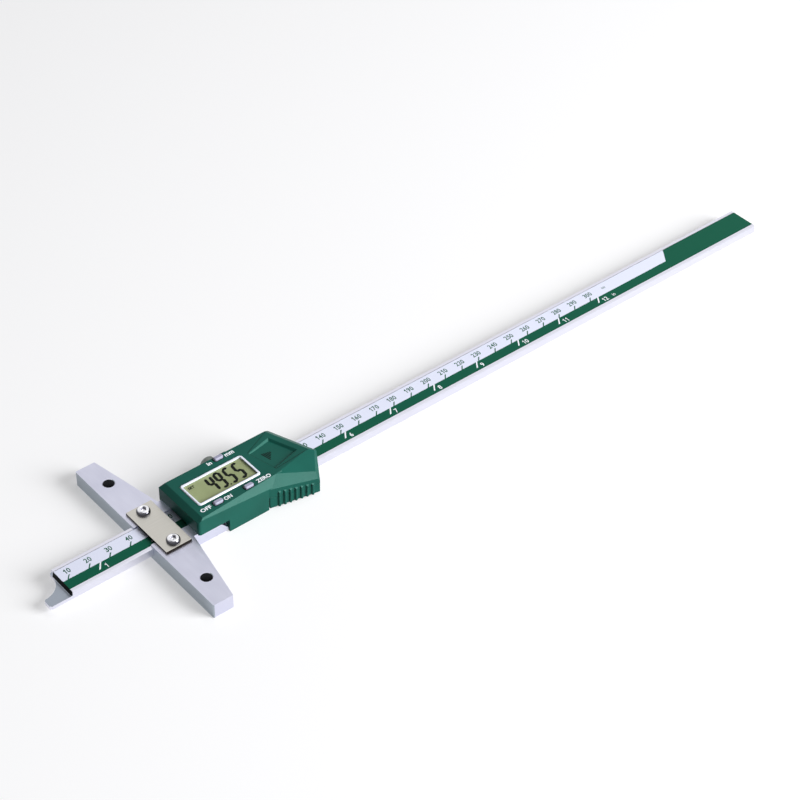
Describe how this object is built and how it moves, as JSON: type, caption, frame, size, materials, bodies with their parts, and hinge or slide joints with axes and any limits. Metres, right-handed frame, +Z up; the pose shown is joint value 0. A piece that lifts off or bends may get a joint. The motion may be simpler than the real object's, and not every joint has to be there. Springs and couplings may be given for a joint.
{
  "type": "digital depth gauge",
  "caption": "Digital depth gauge: a scale beam with a narrow nose slides through a cross base under a housing with a display, push buttons, a battery door and a clamp screw.",
  "frame": {"origin": "on the measuring face of the base, at the middle of the beam's width and at the base's underside", "axes": "+X along the beam from the measuring face to its far end, +Z up from the underside to the display, +Y towards the clamp screw"},
  "size_m": [0.4085, 0.1, 0.0164],
  "materials": {
    "ground_steel": "ground and lapped",
    "beam_steel": "satin",
    "satin_plate": "brushed",
    "screw_steel": "bright",
    "knurled_steel": "knurled",
    "black_steel": "blackened",
    "brass": "machined",
    "scale_laminate": "glass-fibre laminate",
    "scale_print": "printed film",
    "housing_plastic": "fine moulded texture",
    "bezel_plastic": "gloss",
    "window": "clear",
    "lcd": "reflective",
    "button_plastic": "matt",
    "silicone": "soft",
    "board": "solder mask",
    "epoxy": "black resin",
    "cell_steel": "bright",
    "spring_steel": "nickel plated"
  },
  "bodies": {
    "gauge": {"base": "ground_steel", "gib": "brass", "gib_screws": "black_steel", "bridge_plate": "satin_plate", "plate_screws": "screw_steel", "housing": "housing_plastic", "thumb_grip": "housing_plastic", "port_plug": "housing_plastic", "housing_screws": "black_steel", "display_bezel": "bezel_plastic", "display_window": "window", "lcd": "lcd", "contact_strips": "silicone", "circuit_board": "board", "board_chip": "epoxy", "switch_domes": "silicone", "coin_cell": "cell_steel", "negative_contact": "spring_steel", "positive_contact": "spring_steel"},
    "beam_slider": {"beam": "beam_steel", "grating_strip": "scale_laminate", "scale_film": "scale_print"},
    "lock_screw": {"lock_screw": "knurled_steel"},
    "unit_button": {"unit_button": "button_plastic"},
    "power_button": {"power_button": "button_plastic"},
    "zero_button": {"zero_button": "button_plastic"},
    "battery_cover": {"battery_cover": "housing_plastic"}
  },
  "joints": [
    {"name": "beam_slide", "type": "slide", "parent": "gauge", "child": "beam_slider", "axis": [-1, 0, 0], "range_m": [-0.0495, 0.2504]},
    {"name": "lock_turn", "type": "hinge", "parent": "gauge", "child": "lock_screw", "pos_m": [0.0482, 0.0162, 0.0049], "axis": [0, 1, 0], "range_deg": [0, 180]},
    {"name": "unit_press", "type": "slide", "parent": "gauge", "child": "unit_button", "axis": [0, 0, -1], "range_m": [0, 0.0005], "stiffness_N_per_m": 1500, "springref_m": -0.0005},
    {"name": "power_press", "type": "slide", "parent": "gauge", "child": "power_button", "axis": [0, 0, -1], "range_m": [0, 0.0005], "stiffness_N_per_m": 1500, "springref_m": -0.0005},
    {"name": "zero_press", "type": "slide", "parent": "gauge", "child": "zero_button", "axis": [0, 0, -1], "range_m": [0, 0.0005], "stiffness_N_per_m": 1500, "springref_m": -0.0005},
    {"name": "cover_slide", "type": "slide", "parent": "gauge", "child": "battery_cover", "axis": [0.9344, 0.3562, 0], "range_m": [0, 0.02]}
  ]
}
